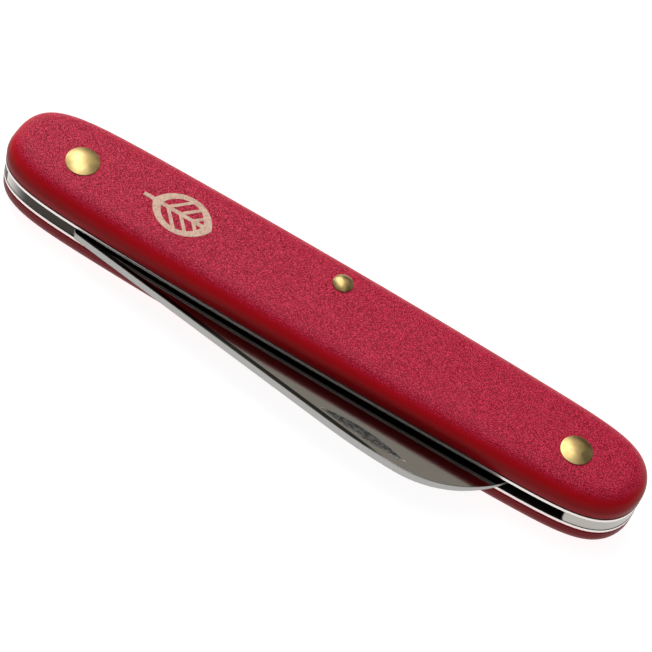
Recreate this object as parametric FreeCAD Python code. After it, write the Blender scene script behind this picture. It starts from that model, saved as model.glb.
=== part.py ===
import FreeCAD, Part

import math
import os

from FreeCAD import Vector

# Folding grafting knife, in millimetres, lying on its rear scale.
# +X runs along the handle from the pivot end to the butt end, +Y towards the
# spring back, -Y towards the slot that the closed blade stands out of, and
# +Z up through the thickness. The origin is the middle of the rear scale's
# flat outer face.

# --- handle outline -------------------------------------------------------
LENGTH = 100.4
HALF_WIDTH = 8.11            # at mid length
SIDE_CROWN = 0.90            # half width lost towards both ends
SIDE_TAPER = 0.11            # the pivot end is this much wider than the butt
PIVOT_END = (12.4, 2.5)      # exponents of the rounded ends: the first sets how
BUTT_END = (14.4, 1.96)      # square an end is, the second how flat its middle is
OUTLINE_STATIONS = 40        # spline points along each long side

# --- layers, from the rear face up ---------------------------------------
SCALE_THICKNESS = 4.25
LINER_THICKNESS = 0.55
SPRING_THICKNESS = 2.2
BLADE_SIDE_CLEARANCE = 0.03
SCALE_EDGE_RADIUS = 3.05     # outer edge, all round
SCALE_INNER_RADIUS = 0.45    # edge next to the liner

REAR_LINER_Z = SCALE_THICKNESS
SPRING_Z = REAR_LINER_Z + LINER_THICKNESS
FRONT_LINER_Z = SPRING_Z + SPRING_THICKNESS
FRONT_SCALE_Z = FRONT_LINER_Z + LINER_THICKNESS
TOTAL_THICKNESS = FRONT_SCALE_Z + SCALE_THICKNESS

BLADE_REAR_Z = SPRING_Z + BLADE_SIDE_CLEARANCE
BLADE_FRONT_Z = FRONT_LINER_Z - BLADE_SIDE_CLEARANCE
BLADE_THICKNESS = BLADE_FRONT_Z - BLADE_REAR_Z
BLADE_MIDDLE_Z = (BLADE_REAR_Z + BLADE_FRONT_Z) / 2

# --- rivets: (x, y), shank radius, head radius ---------------------------
PIVOT = Vector(-39.05, -0.80, 0)
RIVETS = {
    "pivot": (PIVOT, 1.25, 2.42),
    "centre": (Vector(0.57, 3.62, 0), 1.00, 1.46),
    "butt": (Vector(39.57, -0.80, 0), 1.25, 2.25),
}
SHANK_CLEARANCE = 0.02       # round each shank in the fixed pieces
PIVOT_CLEARANCE = 0.03       # running fit of the blade on the pivot rivet
HEAD_CLEARANCE = 0.03
HEAD_SEAT_DEPTH = 0.50       # counterbore under the front head
HEAD_RIM = 0.14              # straight rim of the head above the scale
HEAD_CROWN = 0.60            # top of the domed head above the scale
BURR_SEAT_DEPTH = 0.70       # counterbore for the rear washer
BURR_RIM_DEPTH = 0.35        # washer's rim below the rear face
BURR_TOP_DEPTH = 0.15        # flat ring under the peened end, below the rear face
BUTTON_SHARE = 0.55          # how far the peened end spreads over the washer

# --- tang -----------------------------------------------------------------
TANG_INSET = 0.05            # tang edge below the liner edge
TANG_END_RADIUS = 9.95       # round end of the tang, about the pivot

# --- blade, closed --------------------------------------------------------
STEP_X = -35.2               # shoulder that the spring end stops open
STEP_RADIUS = 0.75
SPINE_START_Y = -8.14
SPINE_ANGLE = 6.9            # degrees between the spine and the handle
NOSE_X = 20.1                # lowest point of the spine, where the nose starts
NOSE_Y = -14.18
NOSE_RADIUS = 16.5
TIP_Y = -4.7
HEEL = Vector(-27.0, 0.7, 0)
CHOIL_RADIUS = 0.7
CHOIL_X = -27.75

# both faces are ground, evenly about the middle of the blade's thickness
GRIND_WIDTH = 15.5           # distance from the edge where full thickness would be reached
EDGE_STOCK = 0.12            # thickness left by the grind at the edge
EDGE_THICKNESS = 0.03
EDGE_BEVEL_WIDTH = 0.35
PLUNGE_START = 2.6           # from the heel to where the full grind begins
PLUNGE_SLANT = 44.0          # degrees that the plunge leans towards the step
GRIND_WHEEL_RADIUS = 4.0     # sweep of the plunge
BEVEL_WHEEL_RADIUS = 2.0

NICK_CENTRE = Vector(14.1, -12.55, 0)
NICK_ANGLE = -2.95           # degrees, along the spine
NICK_LENGTH = 13.6
NICK_DEPTH = 0.70
NICK_STEEP_SIDE = 0.45       # width of the wall next to the spine
NICK_GENTLE_SIDE = 0.88      # width of the slope towards the edge

# --- backspring -----------------------------------------------------------
SPRING_INSET = 0.06
SPRING_END_X = STEP_X + 2 * (PIVOT.x - STEP_X) + 0.05
SPRING_END_Y = 6.17          # underside of the spring at its free end
SPRING_SLOPE = -0.070        # underside, thicker towards the centre rivet
SPRING_TANG_GAP = 0.03
BLOCK_START_X = 42.1         # butt block's first corner in the slot
BLOCK_CORNER_RADIUS = 0.6
SPRING_EDGE_CHAMFER = 0.12

# --- leaf mark ------------------------------------------------------------
LEAF_CENTRE = Vector(-23.2, -0.1, 0)
LEAF_LENGTH = 9.4
LEAF_WIDTH = 6.8
LEAF_LINE = 0.80
LEAF_STALK = 1.5
VEIN_WIDTH = 0.50
VEIN_ANGLE = 48.0
FOIL_THICKNESS = 0.04


def half_width(x):
    """Half width of the handle at a distance x from its middle."""
    u = x / (LENGTH / 2)
    side = HALF_WIDTH - SIDE_TAPER * u - SIDE_CROWN * u * u
    squareness, flatness = PIVOT_END if x < 0 else BUTT_END
    return side * (1 - abs(u) ** squareness) ** (1 / flatness)


def outline_points(inset):
    """Closed run of points round the handle, moved inwards by inset."""
    stations = []
    for i in range(OUTLINE_STATIONS + 1):
        angle = math.pi * (i / OUTLINE_STATIONS - 0.5)
        x = LENGTH / 2 * math.sin(angle)
        stations.append((x, half_width(x) if 0 < i < OUTLINE_STATIONS else 0.0))
    back = [Vector(x, y, 0) for x, y in stations]
    slot = [Vector(x, -y, 0) for x, y in reversed(stations[1:-1])]
    ring = back + slot
    moved = []
    for i, point in enumerate(ring):
        along = ring[(i + 1) % len(ring)] - ring[i - 1]
        inwards = Vector(along.y, -along.x, 0).normalize()
        moved.append(point + inwards * inset)
    return moved


def handle_prism(z, height, inset=0.0):
    """Plate with the handle's outline."""
    curve = Part.BSplineCurve()
    curve.interpolate(Points=outline_points(inset), PeriodicFlag=True)
    face = Part.Face(Part.Wire([curve.toShape()]))
    face.translate(Vector(0, 0, z))
    return face.extrude(Vector(0, 0, height))


def rounded_polygon(corners):
    """Closed wire through (x, y, radius) corners, each rounded by its radius."""
    count = len(corners)
    entries = []
    exits = []
    middles = []
    for i, (x, y, radius) in enumerate(corners):
        corner = Vector(x, y, 0)
        before = (Vector(*corners[i - 1][:2], 0) - corner).normalize()
        after = (Vector(*corners[(i + 1) % count][:2], 0) - corner).normalize()
        half = before.getAngle(after) / 2
        reach = radius / math.tan(half)
        to_centre = (before + after).normalize()
        entries.append(corner + before * reach)
        exits.append(corner + after * reach)
        middles.append(corner + to_centre * (radius / math.sin(half) - radius))
    edges = []
    for i in range(count):
        if corners[i][2] > 0:
            edges.append(Part.Arc(entries[i], middles[i], exits[i]).toShape())
        edges.append(Part.LineSegment(exits[i], entries[(i + 1) % count]).toShape())
    return Part.Wire(edges)


def prism(wire, z, height):
    """Solid standing on a flat wire."""
    face = Part.Face(wire)
    face.translate(Vector(0, 0, z))
    return face.extrude(Vector(0, 0, height))


def revolved(edges, centre):
    """Solid of revolution about the Z axis through centre."""
    face = Part.Face(Part.Wire(edges))
    solid = face.revolve(Vector(0, 0, 0), Vector(0, 0, 1), 360)
    solid.translate(centre)
    return solid


def cylinder(centre, radius, low, high):
    """Upright cylinder between two heights."""
    return Part.makeCylinder(radius, high - low, Vector(centre.x, centre.y, low))


def lines(points):
    """Straight edges joining (r, z) profile points in the XZ plane."""
    vectors = [Vector(r, 0, z) for r, z in points]
    return [Part.LineSegment(a, b).toShape() for a, b in zip(vectors, vectors[1:])]


def cap_arc(radius, rim, crown):
    """Profile of a spherical cap, from its rim to its crown on the axis."""
    rise = abs(crown - rim)
    outwards = math.copysign(1, crown - rim)
    sphere = (rise * rise + radius * radius) / (2 * rise)
    half = math.asin(radius / sphere) / 2
    middle = crown - outwards * sphere * (1 - math.cos(half))
    points = [(radius, rim), (sphere * math.sin(half), middle), (0, crown)]
    return Part.Arc(*[Vector(r, 0, z) for r, z in points]).toShape()


def with_rivet_holes(solid):
    """Cut the three shank holes through a fixed piece."""
    for centre, shank, _head in RIVETS.values():
        solid = solid.cut(cylinder(centre, shank + SHANK_CLEARANCE, -5, TOTAL_THICKNESS + 5))
    return solid


def edges_at(solid, z):
    """Edges that lie flat at a height."""
    return [edge for edge in solid.Edges
            if abs(edge.BoundBox.ZMin - z) < 0.01 and abs(edge.BoundBox.ZMax - z) < 0.01]


def make_scale(front):
    """Moulded handle side with its edges rounded all round."""
    low = FRONT_SCALE_Z if front else 0.0
    outer = TOTAL_THICKNESS if front else 0.0
    inner = FRONT_SCALE_Z if front else SCALE_THICKNESS
    plate = handle_prism(low, SCALE_THICKNESS)
    plate = plate.makeFillet(SCALE_EDGE_RADIUS, edges_at(plate, outer))
    plate = plate.makeFillet(SCALE_INNER_RADIUS, edges_at(plate, inner))
    scale = with_rivet_holes(plate)
    for centre, _shank, head in RIVETS.values():
        seat_radius = head + HEAD_CLEARANCE
        if front:
            seat = cylinder(centre, seat_radius, outer - HEAD_SEAT_DEPTH, outer + 5)
        else:
            seat = cylinder(centre, seat_radius, -5, BURR_SEAT_DEPTH)
        scale = scale.cut(seat)
    return scale


def make_liner(z):
    """Flat metal liner."""
    return with_rivet_holes(handle_prism(z, LINER_THICKNESS))


def button_radius(shank, head):
    """Radius of the peened end."""
    return shank + BUTTON_SHARE * (head - shank)


def make_rivet(centre, shank, head):
    """Brass rivet: domed head in front, shank, peened end over the washer."""
    seat = TOTAL_THICKNESS - HEAD_SEAT_DEPTH
    rim = TOTAL_THICKNESS + HEAD_RIM
    crown = TOTAL_THICKNESS + HEAD_CROWN
    button = button_radius(shank, head)
    body = [(button, BURR_TOP_DEPTH), (shank, BURR_TOP_DEPTH), (shank, seat), (head, seat), (head, rim)]
    edges = lines(body) + [cap_arc(head, rim, crown)]
    edges += lines([(0, crown), (0, 0)]) + [cap_arc(button, BURR_TOP_DEPTH, 0)]
    return revolved(edges, centre)


def make_burr(centre, shank, head):
    """Washer with a sloping rim that the rear end of a rivet is peened over."""
    bore = shank + SHANK_CLEARANCE
    points = [
        (bore, BURR_SEAT_DEPTH),
        (head, BURR_SEAT_DEPTH),
        (head, BURR_RIM_DEPTH),
        (button_radius(shank, head), BURR_TOP_DEPTH),
        (bore, BURR_TOP_DEPTH),
        (bore, BURR_SEAT_DEPTH),
    ]
    return revolved(lines(points), centre)


def spine_geometry():
    """Where the straight spine ends and where the nose arc meets the edge."""
    angle = math.radians(SPINE_ANGLE)
    start = Vector(STEP_X, SPINE_START_Y, 0)
    # radius of the arc tangent to the straight spine and level at the nose
    drop = NOSE_Y - (start.y - math.tan(angle) * (NOSE_X - start.x))
    radius = drop / (math.sin(angle) * math.tan(angle) - (1 - math.cos(angle)))
    bend = Vector(NOSE_X - radius * math.sin(angle), NOSE_Y + radius * (1 - math.cos(angle)), 0)
    half = angle / 2
    bend_middle = Vector(NOSE_X - radius * math.sin(half), NOSE_Y + radius * (1 - math.cos(half)), 0)
    nose_centre = Vector(NOSE_X, NOSE_Y + NOSE_RADIUS, 0)
    rise = TIP_Y - nose_centre.y
    tip = Vector(NOSE_X + math.sqrt(NOSE_RADIUS ** 2 - rise ** 2), TIP_Y, 0)
    turn = math.atan2(tip.x - nose_centre.x, nose_centre.y - tip.y) / 2
    nose_middle = nose_centre + Vector(math.sin(turn), -math.cos(turn), 0) * NOSE_RADIUS
    return start, bend, bend_middle, nose_middle, tip


def make_blade_plate():
    """Blade from the step to the tip, full thickness."""
    start, bend, bend_middle, nose_middle, tip = spine_geometry()
    nose = Vector(NOSE_X, NOSE_Y, 0)
    inner = Vector(STEP_X, -5.0, 0)
    along = (bend - start).normalize()
    up = Vector(0, 1, 0)
    half = up.getAngle(along) / 2
    reach = STEP_RADIUS / math.tan(half)
    to_centre = (up + along).normalize()
    corner_in = start + up * reach
    corner_out = start + along * reach
    corner_middle = start + to_centre * (STEP_RADIUS / math.sin(half) - STEP_RADIUS)
    shelf = [tip, HEEL, HEEL + Vector(-2.0, 0, 0), HEEL + Vector(-3.0, -6.2, 0), inner]
    edges = [Part.LineSegment(inner, corner_in).toShape()]
    edges.append(Part.Arc(corner_in, corner_middle, corner_out).toShape())
    edges.append(Part.LineSegment(corner_out, bend).toShape())
    edges.append(Part.Arc(bend, bend_middle, nose).toShape())
    edges.append(Part.Arc(nose, nose_middle, tip).toShape())
    edges += [Part.LineSegment(a, b).toShape() for a, b in zip(shelf, shelf[1:])]
    return prism(Part.Wire(edges), BLADE_REAR_Z, BLADE_THICKNESS), tip


def spring_underside(x):
    """Height of the spring's tapered underside, which presses on the tang."""
    return SPRING_END_Y + SPRING_SLOPE * (x - SPRING_END_X)


def make_tang():
    """Tang: flush with the liners both closed and open, round end, flat for the spring."""
    closed = handle_prism(BLADE_REAR_Z, BLADE_THICKNESS, TANG_INSET)
    opened = closed.copy()
    opened.rotate(PIVOT, Vector(0, 0, 1), 180)
    end = cylinder(PIVOT, TANG_END_RADIUS + 1.2, BLADE_REAR_Z, BLADE_FRONT_Z)
    round_end = cylinder(PIVOT, TANG_END_RADIUS, BLADE_REAR_Z, BLADE_FRONT_Z)
    shoulder = Part.makeBox(14, 30, BLADE_THICKNESS, Vector(PIVOT.x, -15, BLADE_REAR_Z))
    end = round_end.fuse(end.common(shoulder))
    flat_far = -60.0
    flat_near = 0.0
    below = Part.makePolygon([
        Vector(flat_far, -20, 0),
        Vector(flat_near, -20, 0),
        Vector(flat_near, spring_underside(flat_near) - SPRING_TANG_GAP, 0),
        Vector(flat_far, spring_underside(flat_far) - SPRING_TANG_GAP, 0),
        Vector(flat_far, -20, 0),
    ])
    flat = prism(below, BLADE_REAR_Z, BLADE_THICKNESS)
    return closed.common(opened).common(end).common(flat)


def edge_frame(tip):
    """Direction along the cutting edge, and from the edge towards the spine."""
    along = (tip - HEEL).normalize()
    return along, Vector(along.y, -along.x, 0)


def grind_cutter(tip, width, stock_at_edge, wheel_radius):
    """Stock behind a plane that falls from the edge to the rear face over width.

    The plane starts in the round sweep that a grinding wheel leaves.
    """
    along, across = edge_frame(tip)
    drop = (BLADE_THICKNESS - stock_at_edge) / 2
    slope = (across * width - Vector(0, 0, drop)).normalize()
    away = along.cross(slope).normalize()
    if away.z > 0:
        away = away * -1
    slant = math.radians(PLUNGE_SLANT)
    plunge = slope * math.cos(slant) - along * math.sin(slant)
    start = HEEL + along * PLUNGE_START + Vector(0, 0, BLADE_REAR_Z + drop)
    beyond = 3.0
    corner = start - plunge * beyond
    side = plunge * 2 * width
    reach = along * ((tip - HEEL).Length + 2 * width)
    ground = [corner, corner + side, corner + side + reach, corner + reach, corner]
    plane = Part.Face(Part.makePolygon(ground)).extrude(away * wheel_radius)
    wheel = Part.makeCylinder(wheel_radius, 2 * width, corner + away * wheel_radius, plunge)
    return plane.fuse(wheel)


def grind_both_faces(blade, tip, width, stock_at_edge, wheel_radius):
    """Grind the rear face, then the front face as its mirror image."""
    rear = grind_cutter(tip, width, stock_at_edge, wheel_radius)
    front = rear.mirror(Vector(0, 0, BLADE_MIDDLE_Z), Vector(0, 0, 1))
    return blade.cut(rear).cut(front)


def nick_cutter(tip):
    """Wheel with two unequal flanks that mills the nail nick into the ground front face."""
    radius = NICK_LENGTH ** 2 / (8 * NICK_DEPTH) + NICK_DEPTH / 2
    floor = radius - NICK_DEPTH
    run_out = 2.0
    profile = [
        Vector(0, -NICK_STEEP_SIDE * run_out, radius - NICK_DEPTH * run_out),
        Vector(0, 0, radius),
        Vector(0, NICK_GENTLE_SIDE * run_out, radius - NICK_DEPTH * run_out),
        Vector(0, NICK_GENTLE_SIDE * run_out, 0),
        Vector(0, -NICK_STEEP_SIDE * run_out, 0),
    ]
    profile.append(profile[0])
    wheel = Part.Face(Part.makePolygon(profile)).revolve(Vector(0, 0, 0), Vector(0, 1, 0), 360)
    wheel.translate(Vector(0, 0, floor))
    fall = (BLADE_THICKNESS - EDGE_STOCK) / 2 / GRIND_WIDTH
    wheel.rotate(Vector(0, 0, 0), Vector(1, 0, 0), -math.degrees(math.atan(fall)))
    wheel.rotate(Vector(0, 0, 0), Vector(0, 0, 1), NICK_ANGLE)
    _along, across = edge_frame(tip)
    height = BLADE_MIDDLE_Z + EDGE_STOCK / 2 + fall * (NICK_CENTRE - HEEL).dot(across)
    wheel.translate(Vector(NICK_CENTRE.x, NICK_CENTRE.y, height))
    return wheel


def make_blade():
    """Straight-edged blade with its tang, ground on both faces."""
    plate, tip = make_blade_plate()
    blade = plate.fuse(make_tang()).removeSplitter()
    blade = blade.cut(cylinder(PIVOT, RIVETS["pivot"][1] + PIVOT_CLEARANCE, -5, 20))
    blade = blade.cut(cylinder(Vector(CHOIL_X, HEEL.y, 0), CHOIL_RADIUS, -5, 20))
    blade = grind_both_faces(blade, tip, GRIND_WIDTH, EDGE_STOCK, GRIND_WHEEL_RADIUS)
    bevel_fall = (EDGE_STOCK - EDGE_THICKNESS) / EDGE_BEVEL_WIDTH
    bevel_width = (BLADE_THICKNESS - EDGE_THICKNESS) / bevel_fall
    blade = grind_both_faces(blade, tip, bevel_width, EDGE_THICKNESS, BEVEL_WHEEL_RADIUS)
    return blade.cut(nick_cutter(tip))


def make_backspring():
    """Back leaf with a boss for the centre rivet and a block filling the butt end."""
    outer = handle_prism(SPRING_Z, SPRING_THICKNESS, SPRING_INSET)
    rims = edges_at(outer, SPRING_Z) + edges_at(outer, FRONT_LINER_Z)
    outer = outer.makeChamfer(SPRING_EDGE_CHAMFER, rims)
    far = -60.0
    boss_side = -5.2
    beside = 3.0
    mouth = SPRING_INSET - half_width(BLOCK_START_X)
    rise = (half_width(BLOCK_START_X - 0.5) - half_width(BLOCK_START_X + 0.5)) * beside
    well = rounded_polygon([
        (BLOCK_START_X + beside, -20.0, 0),
        (BLOCK_START_X + beside, mouth + rise, 0),
        (BLOCK_START_X, mouth, BLOCK_CORNER_RADIUS),
        (BLOCK_START_X, -6.4, 0.6),
        (37.2, -1.7, 2.5),
        (35.4, 1.8, 2.5),
        (30.5, 4.0, 4.0),
        (6.0, 4.4, 2.5),
        (3.4, 1.0, 1.5),
        (-2.4, 1.0, 1.5),
        (boss_side, spring_underside(boss_side), 2.5),
        (far, spring_underside(far), 0),
        (far, -20.0, 0),
    ])
    spring = outer.cut(prism(well, SPRING_Z - 1, SPRING_THICKNESS + 2))
    spring = spring.cut(Part.makeBox(20, 40, 10, Vector(SPRING_END_X - 20, -20, SPRING_Z - 4)))
    return with_rivet_holes(spring)


def lens(length, width):
    """Flat pointed leaf outline along X, made of two arcs."""
    left = Vector(-length / 2, 0, 0)
    right = Vector(length / 2, 0, 0)
    upper = Part.Arc(left, Vector(0, width / 2, 0), right).toShape()
    lower = Part.Arc(right, Vector(0, -width / 2, 0), left).toShape()
    return Part.Face(Part.Wire([upper, lower]))


def bar(start, angle, length, width):
    """Flat bar starting at a point, at an angle to X."""
    half = width / 2
    corners = [Vector(0, -half, 0), Vector(length, -half, 0), Vector(length, half, 0), Vector(0, half, 0)]
    face = Part.Face(Part.makePolygon(corners + corners[:1]))
    face.rotate(Vector(0, 0, 0), Vector(0, 0, 1), angle)
    face.translate(start)
    return face


def make_leaf_mark():
    """Generic leaf in thin foil on the front scale."""
    blade = lens(LEAF_LENGTH, LEAF_WIDTH)
    hollow = lens(LEAF_LENGTH - 3.4 * LEAF_LINE, LEAF_WIDTH - 2 * LEAF_LINE)
    stalk_start = -LEAF_LENGTH / 2 - LEAF_STALK
    rib_length = LEAF_STALK + LEAF_LENGTH - 1.5 * LEAF_LINE
    pieces = [bar(Vector(stalk_start, 0, 0), 0, rib_length, VEIN_WIDTH * 1.25)]
    for x in (-2.3, -0.3, 1.7):
        for side in (1, -1):
            vein = bar(Vector(x, 0, 0), side * VEIN_ANGLE, LEAF_WIDTH, VEIN_WIDTH)
            pieces.append(vein.common(blade))
    mark = blade.cut(hollow)
    solid = mark.extrude(Vector(0, 0, FOIL_THICKNESS))
    for piece in pieces:
        solid = solid.fuse(piece.extrude(Vector(0, 0, FOIL_THICKNESS)))
    solid = solid.removeSplitter()
    solid.translate(LEAF_CENTRE + Vector(0, 0, TOTAL_THICKNESS))
    return solid


def make_all():
    """Every piece of the knife, by node name."""
    nodes = {
        "front_scale": make_scale(front=True),
        "rear_scale": make_scale(front=False),
        "front_liner": make_liner(FRONT_LINER_Z),
        "rear_liner": make_liner(REAR_LINER_Z),
        "blade": make_blade(),
        "backspring": make_backspring(),
        "leaf_mark": make_leaf_mark(),
    }
    for name, (centre, shank, head) in RIVETS.items():
        nodes[name + "_rivet"] = make_rivet(centre, shank, head)
        nodes[name + "_burr"] = make_burr(centre, shank, head)
    return nodes


os.makedirs("parts", exist_ok=True)
for name, shape in make_all().items():
    if shape.ShapeType == "Compound" and len(shape.Solids) == 1:
        shape = shape.Solids[0]
    shape.exportStep("parts/" + name + ".step")
    box = shape.BoundBox
    print(name, len(shape.Solids), shape.isValid(), round(shape.Volume, 2),
          [round(v, 2) for v in (box.XMin, box.YMin, box.ZMin, box.XMax, box.YMax, box.ZMax)])
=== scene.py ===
import math

import bpy
from mathutils import Matrix, Vector

# Materials and studio for the grafting knife. The knife's shapes are the CAD frame's own.
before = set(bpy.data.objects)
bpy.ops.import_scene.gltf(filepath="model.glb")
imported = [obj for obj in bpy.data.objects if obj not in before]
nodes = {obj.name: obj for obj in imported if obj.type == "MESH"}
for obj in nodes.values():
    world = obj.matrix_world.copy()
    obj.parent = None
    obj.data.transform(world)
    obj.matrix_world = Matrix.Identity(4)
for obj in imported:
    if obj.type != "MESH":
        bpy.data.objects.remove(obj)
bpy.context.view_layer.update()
scene = bpy.context.scene
scene.view_settings.view_transform = "Standard"

MM = 0.001
X, Y, Z = 0, 1, 2

# places on the knife; a pair is where a mark starts to show and where it shows fully
MIDDLE_Z = 5.9 * MM
NICK_MIDDLE_X = 14.1 * MM
NICK_HALF_LENGTH = (7.6 * MM, 7.2 * MM)
NICK_CHORD_SLOPE = 0.0515
NICK_CHORD_Y = (-11.78 * MM, -11.70 * MM)      # where the chord crosses x = 0
SPINE_SLOPE = 0.121
SPINE_LINE_Y = (-11.74 * MM, -11.80 * MM)      # where the line crosses x = 0
SPINE_LINE_END_X = (19.0 * MM, 15.0 * MM)
TANG_X = (-35.0 * MM, -35.4 * MM)
# where the painted bright reflection at the tang's round end starts and where it is full
TANG_BRIGHT_X = (-43.5 * MM, -49.0 * MM)
SLOT_END_X = (42.35 * MM, 42.15 * MM)

# studio
FLOOR_HALF = 3.0
FLOOR_LEVEL = -0.05 * MM                       # clear of the face that the knife lies on
FLOOR_GLOW = 0.92
BACKDROP_RADIUS = 2.9
BACKDROP_HEIGHT = 4.0
BACKDROP_SIDES = 48
WORLD_LEVEL = 0.03

# soft boxes: name, place, width, height, power, colour
AIM = (0, 0, 0)
WHITE = (1, 1, 1)
WARM = (1.0, 0.93, 0.83)
SOFT_BOXES = (
    ("key", (-0.340, 0.315, 0.610), 0.38, 0.95, 4.2, WHITE),
    ("overhead", (0.0, -0.05, 0.85), 0.90, 0.50, 1.1, WHITE),
    ("behind", (-0.12, 0.62, 0.66), 0.60, 0.50, 0.60, WARM),
)

# faint cards round the table that the polished steel mirrors:
# direction in degrees, height of the middle, tall side, power
CARD_DISTANCE = 1.4
CARD_WIDTH = 1.3
LOW_CARDS = (
    (45, 0.75, 0.95, 0.85),
    (135, 0.75, 0.95, 0.85),
    (225, 0.50, 0.55, 0.5),
    (315, 0.50, 0.55, 0.5),
)

# camera
CAMERA_PLACE = (0.0514, -0.1936, 0.2821)
CAMERA_RIGHT = (0.8531, 0.4873, 0.1865)
CAMERA_BACK = (0.1475, -0.5681, 0.8097)
CAMERA_LENS = 136.5
SENSOR_WIDTH = 36.0


# --- node helpers ---------------------------------------------------------

# sockets of the mix node, when it mixes colours
MIX_FACTOR = 0
MIX_A = 6
MIX_B = 7
MIX_RESULT = 2


class Graph:
    """A material's node tree, with short ways to add nodes to it."""

    def __init__(self, name):
        self.material = bpy.data.materials.new(name)
        self.material.use_nodes = True
        self.nodes = self.material.node_tree.nodes
        self.links = self.material.node_tree.links
        self.shader = self.nodes["Principled BSDF"]
        coordinates = self.nodes.new("ShaderNodeTexCoord")
        self.position = coordinates.outputs["Object"]
        self.normal = coordinates.outputs["Normal"]

    def feed(self, socket, value):
        """Link a node's output to the socket, or set the socket to a number or colour."""
        if isinstance(value, bpy.types.NodeSocket):
            self.links.new(value, socket)
        else:
            socket.default_value = value

    def math(self, operation, a, b=0.0, c=0.0):
        node = self.nodes.new("ShaderNodeMath")
        node.operation = operation
        for socket, value in zip(node.inputs, (a, b, c)):
            self.feed(socket, value)
        return node.outputs[0]

    def times(self, a, b):
        return self.math("MULTIPLY", a, b)

    def component(self, vector, axis):
        node = self.nodes.new("ShaderNodeSeparateXYZ")
        self.feed(node.inputs[0], vector)
        return node.outputs[axis]

    def stretch(self, scale):
        """Object position in metres, multiplied per axis."""
        node = self.nodes.new("ShaderNodeVectorMath")
        node.operation = "MULTIPLY"
        self.feed(node.inputs[0], self.position)
        node.inputs[1].default_value = scale
        return node.outputs[0]

    def noise(self, size, detail=2.0, roughness=0.5):
        """Noise with features of a size in metres: one number, or one per axis."""
        sizes = size if isinstance(size, tuple) else (size, size, size)
        node = self.nodes.new("ShaderNodeTexNoise")
        node.inputs["Scale"].default_value = 1.0
        node.inputs["Detail"].default_value = detail
        node.inputs["Roughness"].default_value = roughness
        self.feed(node.inputs["Vector"], self.stretch(tuple(1.0 / s for s in sizes)))
        return node.outputs[0]

    def cells(self, size):
        """Distance to the nearest point of a scattered set, with cells of a size in metres."""
        node = self.nodes.new("ShaderNodeTexVoronoi")
        node.inputs["Scale"].default_value = 1.0
        self.feed(node.inputs["Vector"], self.stretch((1.0 / size,) * 3))
        return node.outputs["Distance"]

    def step(self, value, low, high, to_low=0.0, to_high=1.0):
        """Smooth change from to_low to to_high as value goes from low to high."""
        node = self.nodes.new("ShaderNodeMapRange")
        node.interpolation_type = "SMOOTHSTEP"
        for socket, number in zip(node.inputs, (value, low, high, to_low, to_high)):
            self.feed(socket, number)
        return node.outputs[0]

    def mix(self, factor, a, b):
        """Colour between a and b."""
        node = self.nodes.new("ShaderNodeMix")
        node.data_type = "RGBA"
        self.feed(node.inputs[MIX_FACTOR], factor)
        self.feed(node.inputs[MIX_A], a)
        self.feed(node.inputs[MIX_B], b)
        return node.outputs[MIX_RESULT]

    def bump(self, height, distance, strength=1.0, edge=None):
        """Fine relief, with sharp edges softened over a distance edge."""
        node = self.nodes.new("ShaderNodeBump")
        node.inputs["Distance"].default_value = distance
        if edge is not None:
            bevel = self.nodes.new("ShaderNodeBevel")
            bevel.samples = 8
            self.feed(bevel.inputs["Radius"], edge)
            self.links.new(bevel.outputs[0], node.inputs["Normal"])
        self.feed(node.inputs["Strength"], strength)
        self.feed(node.inputs["Height"], height)
        self.links.new(node.outputs[0], self.shader.inputs["Normal"])

    def set(self, **inputs):
        """Give the shader's inputs values, with _ for each space in an input's name."""
        for name, value in inputs.items():
            self.feed(self.shader.inputs[name.replace("_", " ")], value)

    def face_up(self, low, high):
        """1 on the flat faces of the knife, 0 on its sides."""
        return self.step(self.math("ABSOLUTE", self.component(self.normal, Z)), low, high)


def rgb(red, green, blue):
    return (red, green, blue, 1.0)


# --- materials ------------------------------------------------------------

def nylon_material():
    """Smooth deep red sides, painted darker than the faces as shade and darker on the rear scale
    than on the front; finely grained paler faces; painted shade on the ledge under the liner.
    """
    graph = Graph("red_nylon")
    rise = graph.component(graph.normal, Z)
    height = graph.component(graph.position, Z)
    side = graph.math("SIGN", graph.math("SUBTRACT", height, MIDDLE_Z))
    outward = graph.times(rise, side)
    shoulder = graph.step(rise, 0.10, 0.75)
    flat = graph.step(outward, 0.60, 0.95)
    ledge = graph.times(graph.step(outward, 0.0, -0.35), graph.step(rise, 0.0, 0.35))
    grain = graph.noise(0.08 * MM, detail=1.0, roughness=0.6)
    pits = graph.cells(0.13 * MM)
    speck = graph.math("ADD", graph.times(grain, 0.75), graph.times(pits, 0.25))
    cloud = graph.step(graph.noise(9 * MM), 0.3, 0.7)
    lit = graph.mix(cloud, rgb(0.56, 0.0060, 0.0115), rgb(0.62, 0.0070, 0.0135))
    # painted shade: the sides (wall) take a darker red than the faces (lit), the rear scale's sides
    # a darker red than the front's, and the ledge under the liner is near black
    front = graph.step(side, -1, 1)
    wall = graph.mix(front, rgb(0.19, 0.0019, 0.0055), rgb(0.26, 0.0026, 0.0050))
    deep = graph.mix(shoulder, graph.mix(ledge, wall, rgb(0.05, 0.0007, 0.002)), lit)
    peak = graph.step(speck, 0.44, 0.56)
    pale = graph.mix(peak, rgb(0.20, 0.0003, 0.003), rgb(0.96, 0.027, 0.106))
    shiny = graph.times(flat, graph.step(speck, 0.46, 0.60))
    graph.set(Base_Color=graph.mix(flat, deep, pale), IOR=1.45,
              Roughness=graph.step(flat, 0, 1, 0.36, 0.40),
              Specular_IOR_Level=graph.step(shiny, 0, 1, 0.08, 0.55))
    graph.bump(speck, 0.06 * MM, flat)
    return graph.material


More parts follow.
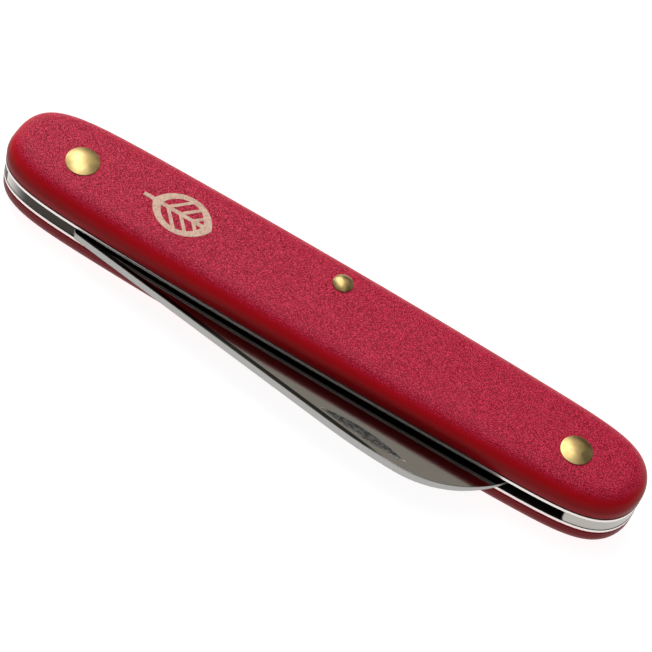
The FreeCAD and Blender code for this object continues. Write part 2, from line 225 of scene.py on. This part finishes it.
def liner_material():
    """Brushed bright edges; the faces painted dark as shade inside the knife."""
    graph = Graph("liner_sheet")
    face = graph.face_up(0.5, 0.9)
    streaks = graph.noise((2.5 * MM, 2.5 * MM, 0.05 * MM), detail=3.0)
    edge = graph.mix(streaks, rgb(0.76, 0.69, 0.67), rgb(0.90, 0.82, 0.80))
    # painted shade: the liners' faces, seen only inside the slot, take a near-black colour
    graph.set(Base_Color=graph.mix(face, edge, rgb(0.16, 0.15, 0.14)), Metallic=1.0,
              Roughness=graph.step(streaks, 0.3, 0.7, 0.34, 0.46))
    graph.bump(streaks, 0.006 * MM, 0.4, edge=0.15 * MM)
    return graph.material


def blade_material():
    """Polished faces with a painted dark reflection, a near-black line beside the finely ground
    spine, and a milled nail nick.
    The tang's edge is painted with reflections: dark, and bright again at its end."""
    graph = Graph("blade_steel")
    along = graph.component(graph.position, X)
    across = graph.component(graph.position, Y)
    flat = graph.face_up(0.93, 0.99)
    lines = graph.noise((0.07 * MM, 3.0 * MM, 3.0 * MM), detail=3.0, roughness=0.6)
    haze = graph.noise(5 * MM, detail=3.0)
    chatter = graph.noise((0.7 * MM, 0.35 * MM, 0.35 * MM), detail=4.0, roughness=0.7)

    # the nick, and the slope that the cutter left in it
    beside_nick = graph.math("ABSOLUTE", graph.math("SUBTRACT", along, NICK_MIDDLE_X))
    past_chord = graph.math("MULTIPLY_ADD", along, NICK_CHORD_SLOPE, across)
    nick = graph.times(graph.step(beside_nick, *NICK_HALF_LENGTH),
                       graph.step(past_chord, *NICK_CHORD_Y))
    milled = graph.times(graph.step(graph.component(graph.normal, Y), -0.25, -0.45),
                         graph.step(graph.component(graph.normal, Z), 0.4, 0.6))
    cut = graph.mix(graph.step(chatter, 0.38, 0.62), rgb(0.13, 0.126, 0.12), rgb(0.42, 0.405, 0.385))

    # edges all round
    tang = graph.step(along, *TANG_X)
    # painted reflection: the tang's edge is near black towards the step, as reflected shade, and
    # bright at its round end, as reflected light
    worn = graph.step(along, *TANG_BRIGHT_X)
    ground = graph.mix(lines, rgb(0.31, 0.305, 0.295), rgb(0.43, 0.425, 0.41))
    dark_reflection = graph.mix(haze, rgb(0.014, 0.011, 0.007), rgb(0.028, 0.022, 0.016))
    bright = graph.mix(haze, rgb(0.62, 0.60, 0.56), rgb(0.70, 0.68, 0.65))
    sides = graph.mix(tang, ground, graph.mix(worn, dark_reflection, bright))

    # faces
    from_spine = graph.math("MULTIPLY_ADD", along, SPINE_SLOPE, across)
    # painted reflection: a near-black line on the faces beside the spine, for the dark that the
    # spine's edge mirrors
    line = graph.times(graph.step(along, *SPINE_LINE_END_X), graph.step(from_spine, *SPINE_LINE_Y))
    polished = graph.mix(haze, rgb(0.25, 0.243, 0.23), rgb(0.28, 0.272, 0.256))
    face = graph.mix(line, polished, rgb(0.03, 0.03, 0.028))

    colour = graph.mix(milled, graph.mix(flat, sides, face), cut)
    roughness = graph.math("MULTIPLY_ADD", lines, 0.05, graph.step(flat, 0, 1, 0.30, 0.07))
    roughness = graph.math("MULTIPLY_ADD", milled, 0.14, roughness)
    graph.set(Base_Color=colour, Metallic=1.0, Roughness=roughness)
    graph.bump(lines, 0.004 * MM, graph.step(flat, 0, 1, 0.5, 0.04),
               edge=graph.step(nick, 0, 1, 0.18 * MM, 0))
    return graph.material


def spring_material():
    """Ground outer edge, painted dark inside the slot as shade."""
    graph = Graph("spring_steel")
    lines = graph.noise((1.6 * MM, 1.6 * MM, 0.06 * MM), detail=4.0, roughness=0.6)
    # painted shade: the faces inside the slot take a near-black colour
    inside = graph.times(graph.step(graph.component(graph.position, X), *SLOT_END_X),
                         graph.step(graph.component(graph.normal, Y), 0.2, 0.0))
    outer = graph.mix(lines, rgb(0.37, 0.36, 0.325), rgb(0.49, 0.475, 0.43))
    graph.set(Base_Color=graph.mix(inside, outer, rgb(0.05, 0.045, 0.04)), Metallic=1.0,
              Roughness=graph.step(lines, 0.2, 0.8, 0.26, 0.40))
    graph.bump(lines, 0.008 * MM, 0.5)
    return graph.material


def brass_material():
    """Hand-peened brass with a little tarnish."""
    graph = Graph("rivet_brass")
    marks = graph.noise((0.5 * MM, 0.9 * MM, 0.7 * MM), detail=4.0, roughness=0.6)
    tarnish = graph.step(graph.noise(1.3 * MM, detail=3.0), 0.35, 0.75)
    graph.set(Base_Color=graph.mix(tarnish, rgb(0.56, 0.42, 0.18), rgb(0.46, 0.33, 0.13)),
              Metallic=1.0, Roughness=graph.step(marks, 0.3, 0.75, 0.30, 0.44))
    graph.bump(marks, 0.02 * MM, 0.35)
    return graph.material


def foil_material():
    """Hot-stamped champagne foil, worn in grains."""
    graph = Graph("mark_foil")
    grain = graph.noise(0.30 * MM, detail=3.0, roughness=0.65)
    worn = graph.step(grain, 0.36, 0.62)
    graph.set(Base_Color=graph.mix(worn, rgb(0.66, 0.38, 0.29), rgb(0.80, 0.58, 0.44)),
              Metallic=graph.step(worn, 0, 1, 0.05, 0.20), Roughness=0.55)
    graph.bump(grain, 0.03 * MM, 0.5)
    return graph.material


def floor_material():
    """Pale matt table that glows enough to look white, with faint shadows left on it."""
    graph = Graph("studio_floor")
    tone = graph.noise(0.4, detail=2.0)
    graph.set(Base_Color=graph.mix(tone, rgb(0.34, 0.34, 0.34), rgb(0.37, 0.37, 0.37)),
              Roughness=0.8, Specular_IOR_Level=0.1,
              Emission_Color=rgb(1, 1, 1), Emission_Strength=FLOOR_GLOW)
    return graph.material


def backdrop_material():
    """White that needs no light."""
    graph = Graph("studio_backdrop")
    tone = graph.noise(0.4, detail=2.0)
    graph.set(Base_Color=rgb(0.02, 0.02, 0.02), Roughness=1.0, Specular_IOR_Level=0.0,
              Emission_Color=rgb(1, 1, 1), Emission_Strength=graph.step(tone, 0, 1, 0.97, 1.0))
    return graph.material


def dress(material, *names):
    """Give CAD nodes a material."""
    for name in names:
        slots = nodes[name].data.materials
        slots.clear()
        slots.append(material)


dress(nylon_material(), "front_scale", "rear_scale")
dress(liner_material(), "front_liner", "rear_liner")
dress(blade_material(), "blade")
dress(spring_material(), "backspring")
dress(brass_material(), "pivot_rivet", "centre_rivet", "butt_rivet",
      "pivot_burr", "centre_burr", "butt_burr")
dress(foil_material(), "leaf_mark")


# --- floor, light and camera ----------------------------------------------

def add_mesh(name, corners, faces, material):
    mesh = bpy.data.meshes.new(name)
    mesh.from_pydata(corners, [], faces)
    mesh.materials.append(material)
    item = bpy.data.objects.new(name, mesh)
    scene.collection.objects.link(item)
    return item


def add_floor():
    corners = [(x * FLOOR_HALF, y * FLOOR_HALF, FLOOR_LEVEL)
               for x, y in ((-1, -1), (1, -1), (1, 1), (-1, 1))]
    floor = add_mesh("floor", corners, [(0, 1, 2, 3)], floor_material())


def add_backdrop():
    """Pale wall round the floor. Only the camera sees it, so it lights and reflects nothing."""
    corners = []
    faces = []
    for side in range(BACKDROP_SIDES):
        turn = 2 * math.pi * side / BACKDROP_SIDES
        x = BACKDROP_RADIUS * math.cos(turn)
        y = BACKDROP_RADIUS * math.sin(turn)
        corners += [(x, y, FLOOR_LEVEL), (x, y, BACKDROP_HEIGHT)]
        after = (side + 1) % BACKDROP_SIDES
        faces.append((2 * side, 2 * after, 2 * after + 1, 2 * side + 1))
    backdrop = add_mesh("backdrop", corners, faces, backdrop_material())
    backdrop.visible_diffuse = False
    backdrop.visible_glossy = False
    backdrop.visible_transmission = False
    backdrop.visible_shadow = False


def add_area_light(name, place, width, height, power, colour):
    """Rectangular light that points at AIM. The camera doesn't see it."""
    data = bpy.data.lights.new(name, "AREA")
    data.shape = "RECTANGLE"
    data.size = width
    data.size_y = height
    data.energy = power
    data.color = colour
    light = bpy.data.objects.new(name, data)
    light.location = place
    light.visible_camera = False
    light.rotation_euler = (Vector(AIM) - Vector(place)).to_track_quat("-Z", "Y").to_euler()
    scene.collection.objects.link(light)


def add_world():
    world = bpy.data.worlds.new("studio")
    world.use_nodes = True
    background = world.node_tree.nodes["Background"]
    background.inputs["Color"].default_value = rgb(1, 1, 1)
    background.inputs["Strength"].default_value = WORLD_LEVEL
    scene.world = world


def add_camera():
    """Camera at the angle and distance that the knife is seen from."""
    data = bpy.data.cameras.new("camera")
    data.sensor_width = SENSOR_WIDTH
    data.lens = CAMERA_LENS
    data.clip_start = 0.01
    camera = bpy.data.objects.new("camera", data)
    right = Vector(CAMERA_RIGHT).normalized()
    back = Vector(CAMERA_BACK)
    back = (back - right * back.dot(right)).normalized()
    up = back.cross(right)
    turn = Matrix((right, up, back)).transposed().to_4x4()
    camera.matrix_world = Matrix.Translation(CAMERA_PLACE) @ turn
    scene.collection.objects.link(camera)
    scene.camera = camera


add_floor()
add_backdrop()
for name, place, width, height, power, colour in SOFT_BOXES:
    add_area_light(name, place, width, height, power, colour)
for angle, middle, tall, power in LOW_CARDS:
    turn = math.radians(angle)
    place = (CARD_DISTANCE * math.cos(turn), CARD_DISTANCE * math.sin(turn), middle)
    add_area_light("low_card", place, CARD_WIDTH, tall, power, WHITE)
add_world()
add_camera()
